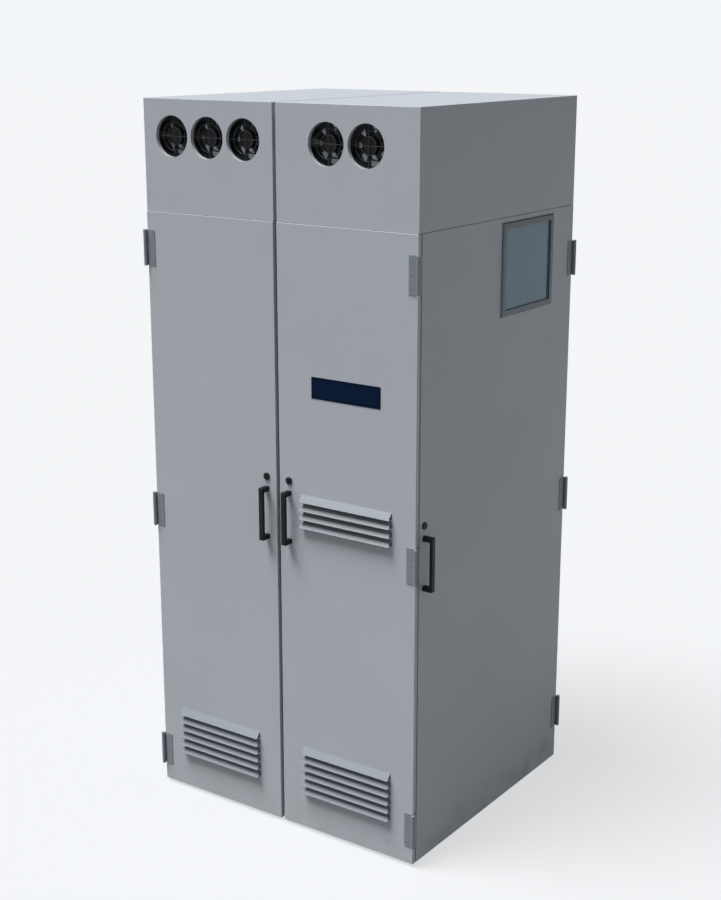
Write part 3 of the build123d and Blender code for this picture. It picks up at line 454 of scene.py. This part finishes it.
tint = Finish("tinted safety glass")
film = tint.noise(5.0, 3.0, 0.5)
tinted_glass = tint.surface({
    "Base Color": tint.mix(film, rgb(108, 148, 168), rgb(96, 136, 157)),
    "Roughness": 0.06 + 0.05 * film, "Alpha": 0.78 + 0.05 * film, "IOR": 1.52})
dress(tinted_glass, "window_glass")

# ---- Battery modules ----
# Dark moulded cases with a recessed grip and two terminals. Each front carries a raised
# border, cooling ribs, a small status lens and bolts on its terminals.
case_plastic = moulded("module case", rgb(58, 62, 66), rgb(70, 74, 78), 700.0, 0.5, 0.3)
dress(case_plastic, "battery_modules")
module_low, module_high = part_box("battery_modules")
module_height = 0.180
module_width = 0.300
terminal_proud = 0.008
border_proud = 0.003
border_bar = 0.008
border_height = 0.172
border_width = 0.280
border_rail = 0.006
border_inset = 0.004
rib_count = 8
rib_pitch = 0.006
rib_first = 0.018
rib_proud = 0.002
rib_width = 0.200
rib_height = 0.0025
lens_level = 0.150
module_rows = 6
module_step = (module_high.z - module_low.z - module_height) / (module_rows - 1)
module_front_y = module_low.y + terminal_proud
module_middles = (module_low.x + module_width / 2, module_high.x - module_width / 2)
module_places = [
    Vector((module_middles[column], module_front_y, module_low.z + row * module_step))
    for column, rows in ((0, module_rows), (1, module_rows - 1)) for row in range(rows)]


def bar(bm, centre, size, bevel=0.0):
    """Add a block with its edges rounded over."""
    shape = Matrix.Translation(centre) @ Matrix.Diagonal((*size, 1.0))
    made = bmesh.ops.create_cube(bm, size=1.0, matrix=shape)
    if bevel:
        edges = list({edge for vert in made["verts"] for edge in vert.link_edges})
        bmesh.ops.bevel(bm, geom=edges, offset=bevel, segments=2, affect="EDGES", profile=0.5)


border_reach = (border_width + border_bar) / 2
fascia = bmesh.new()
lenses = bmesh.new()
for corner in module_places:
    for reach in (-border_reach, border_reach):
        bar(fascia, corner + Vector((reach, -border_proud / 2, module_height / 2)),
            (border_bar, border_proud, border_height), 0.001)
    for level in (border_inset, module_height - border_inset):
        bar(fascia, corner + Vector((0, -border_proud / 2, level)),
            (border_width, border_proud, border_rail), 0.001)
    for rib in range(rib_count):
        bar(fascia, corner + Vector((0, -rib_proud / 2, rib_first + rib * rib_pitch)),
            (rib_width, rib_proud, rib_height), 0.0005)
    turned(lenses, [(0, 0), (0.004, 0), (0.004, 0.0012), (0.003, 0.002), (0, 0.0022)],
           facing(corner + Vector((0, 0, lens_level)), front), 20)
mesh_piece("module_fascias", fascia, case_plastic, "cabinet")

status = Finish("green status lens")
glow = status.noise(300.0, 2.0)
status_lens = status.surface({
    "Base Color": rgb(40, 150, 90), "Roughness": 0.2 + 0.1 * glow,
    "Emission Color": status.mix(glow, rgb(60, 220, 120), rgb(30, 180, 90)), "Emission Strength": 0.6})
mesh_piece("module_status_lenses", lenses, status_lens, "cabinet")

# ---- Busbars ----
# Flat copper bars, lightly tarnished, that link each module to the next one up. Plated
# hexagon bolts with washers hold them to the terminals.
copper = Finish("bare copper")
tarnish = copper.noise(40.0, 5.0, 0.65)
bar_copper = copper.surface({
    "Base Color": copper.mix(copper.step(tarnish, 0.35, 0.7), rgb(214, 138, 104), rgb(150, 92, 70)),
    "Metallic": 1.0, "Roughness": 0.28 + 0.2 * tarnish})
dress(bar_copper, "busbars")
bus_face_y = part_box("busbars")[0].y
terminal_offset = 0.100
terminal_level = 0.150


def hexagon_bolt(bm, place, across=0.005, height=0.004):
    """Washer and hexagon head with a chamfered top."""
    turned(bm, [(0, 0), (across * 1.35, 0), (across * 1.35, 0.001), (across, 0.001)], place, 24)
    turned(bm, [(across, 0.001), (across, height * 0.85), (across * 0.86, height), (0, height)], place, 6)


bolts = bmesh.new()
for middle in module_middles:
    for row in range(module_rows - 1):
        side = 1 if row % 2 else -1
        for end in (0, 1):
            level = module_low.z + (row + end) * module_step + terminal_level
            centre = Vector((middle + side * terminal_offset, bus_face_y, level))
            hexagon_bolt(bolts, facing(centre, front))
mesh_piece("busbar_bolts", bolts, bright_zinc, "cabinet")

# ---- Control unit and main isolator ----
# A painted steel box with slots beside the window. The isolator on its front has a
# yellow base and a red knob with a white pointer.
control_paint = powder_coat("control unit blue-grey", rgb(138, 143, 150), rgb(124, 129, 137),
                            0.2, 0.42, False)
dress(control_paint, "control_unit")
yellow = moulded("yellow moulding", rgb(222, 196, 60), rgb(206, 180, 52), 900.0, 0.3, 0.1)
red = moulded("red moulding", rgb(186, 40, 34), rgb(170, 32, 28), 900.0, 0.28, 0.1)
dress(yellow, "isolator_base")
dress(red, "isolator_knob")

white_ink = moulded("white ink", rgb(232, 232, 228), rgb(216, 216, 212), 900.0, 0.5, 0.05)
knob_low, knob_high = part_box("isolator_knob")
knob_middle = (knob_low + knob_high) / 2
pointer_size = (0.018, 0.0006, 0.002)
pointer_reach = 0.012
pointer_lift = 0.0001
pointer = bmesh.new()
bar(pointer, Vector((knob_middle.x + pointer_reach, knob_low.y - pointer_lift, knob_middle.z)),
    pointer_size, 0.0002)
mesh_piece("isolator_pointer", pointer, white_ink, "isolator")

control_low, control_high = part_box("control_unit")
control_middle = (control_low.x + control_high.x) / 2
control_front_y = control_low.y + terminal_proud
breaker_count = 4
breaker_pitch = 0.018
breaker_size = (0.017, 0.012, 0.080)
breaker_level = 0.070
lever_size = (0.008, 0.008, 0.014)
lever_shift = Vector((0, -0.008, 0.004))
gear = bmesh.new()
for k in range(breaker_count):
    breaker = Vector((control_middle + (k - (breaker_count - 1) / 2) * breaker_pitch,
                      control_front_y - breaker_size[1] / 2, control_low.z + breaker_level))
    bar(gear, breaker, breaker_size, 0.0012)
    bar(gear, breaker + lever_shift, lever_size, 0.001)
mesh_piece("control_breakers", gear, nylon, "cabinet")


# ---- Screws of the fixed panels ----
# Zinc-plated pan-head screws hold the rear panels and the left side panel to the frame,
# in two rows of five near the upright edges of each panel.
def pan_head(bm, place, head=0.0055, height=0.003):
    """Domed screw head with a hexagonal socket."""
    turned(bm, [(0, 0), (head, 0), (head, height * 0.35), (head * 0.85, height * 0.8),
                (head * 0.5, height)], place, 24)
    turned(bm, [(head * 0.5, height), (head * 0.46, height * 0.3), (0, height * 0.3)], place, 6)


panel_screws = bmesh.new()
screw_rows = 5
screw_edge = 0.012
for name, outward in (("rear_panel_left", Vector((0, 1, 0))), ("rear_panel_right", Vector((0, 1, 0))),
                      ("left_side_panel", Vector((-1, 0, 0)))):
    low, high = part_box(name)
    for row in range(screw_rows):
        level = low.z + screw_edge + (high.z - low.z - 2 * screw_edge) * row / (screw_rows - 1)
        if outward.y:
            spots = [Vector((x, high.y, level)) for x in (low.x + screw_edge, high.x - screw_edge)]
        else:
            spots = [Vector((low.x, y, level)) for y in (low.y + screw_edge, high.y - screw_edge)]
        for spot in spots:
            pan_head(panel_screws, facing(spot, outward))
mesh_piece("panel_screws", panel_screws, bright_zinc, "cabinet")

# ---- Studio ----
# Pale floor that meets a pale world, one high soft key from the front left and a weak
# fill, at a plain level. The camera stands at the front right, a little above the roof.
floor_paint = Finish("studio floor")
path = "ShaderNodeLightPath"
seen = (floor_paint.node(path, output="Is Camera Ray") + floor_paint.node(path, output="Is Glossy Ray")
        + floor_paint.node(path, output="Is Transmission Ray"))
matte = floor_paint.node("ShaderNodeBsdfDiffuse", None, {"Color": (0.16, 0.163, 0.168, 1.0)})
lift = floor_paint.node("ShaderNodeEmission", None, {
    "Color": (0.97, 0.985, 1.0, 1.0), "Strength": seen * 0.66})
floor_paint.show(floor_paint.node("ShaderNodeAddShader", None, {0: matte, 1: lift}))
floor_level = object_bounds()[0].z
floor_mesh = bpy.data.meshes.new("studio_floor")
far = 60.0
floor_mesh.from_pydata([(-far, -far, floor_level), (far, -far, floor_level),
                        (far, far, floor_level), (-far, far, floor_level)], [], [(0, 1, 2, 3)])
floor = bpy.data.objects.new("studio_floor", floor_mesh)
floor_mesh.materials.append(floor_paint.material)
bpy.context.scene.collection.objects.link(floor)

world = bpy.data.worlds.new("studio")
bpy.context.scene.world = world
sky = Finish("studio", world)
open_view = sky.node(path, output="Is Camera Ray") + sky.node(path, output="Is Transmission Ray")
shown = sky.node("ShaderNodeBackground", None, {"Color": (0.90, 0.92, 0.94, 1.0)})
lighting = sky.node("ShaderNodeBackground", None, {"Color": (0.93, 0.96, 1.0, 1.0), "Strength": 0.22})
sky.show(sky.node("ShaderNodeMixShader", None, {0: open_view, 1: lighting, 2: shown}),
         "ShaderNodeOutputWorld")


def sun(name, towards, strength, softness):
    """Distant lamp that shines from a direction."""
    lamp = bpy.data.lights.new(name, "SUN")
    lamp.energy = strength
    lamp.angle = math.radians(softness)
    holder = bpy.data.objects.new(name, lamp)
    holder.rotation_mode = "QUATERNION"
    holder.rotation_quaternion = Vector(towards).to_track_quat("Z", "Y")
    bpy.context.scene.collection.objects.link(holder)


sun("key", (-0.25, -0.28, 0.925), 4.8, 30.0)
sun("fill", (0.8, -0.5, 0.4), 0.15, 60.0)

# A small lamp in each plenum shows its grey walls between the blades of the fans.
for shell in ("plenum_shell_left", "plenum_shell_right"):
    low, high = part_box(shell)
    bulb = bpy.data.lights.new(shell + "_lamp", "POINT")
    bulb.energy = 0.45
    bulb.shadow_soft_size = 0.05
    holder = bpy.data.objects.new(shell + "_lamp", bulb)
    holder.location = (low + high) / 2
    bpy.context.scene.collection.objects.link(holder)

optics = bpy.data.cameras.new("camera")
optics.lens = 61.887
optics.sensor_width = 36.0
optics.clip_end = 200.0
camera = bpy.data.objects.new("camera", optics)
camera.location = (2.4693, -3.5443, 2.1809)
camera.rotation_mode = "QUATERNION"
camera.rotation_quaternion = Vector((0.55318, -0.79033, 0.26338)).to_track_quat("Z", "Y")
bpy.context.scene.collection.objects.link(camera)
bpy.context.scene.camera = camera
bpy.context.scene.view_settings.view_transform = "Standard"
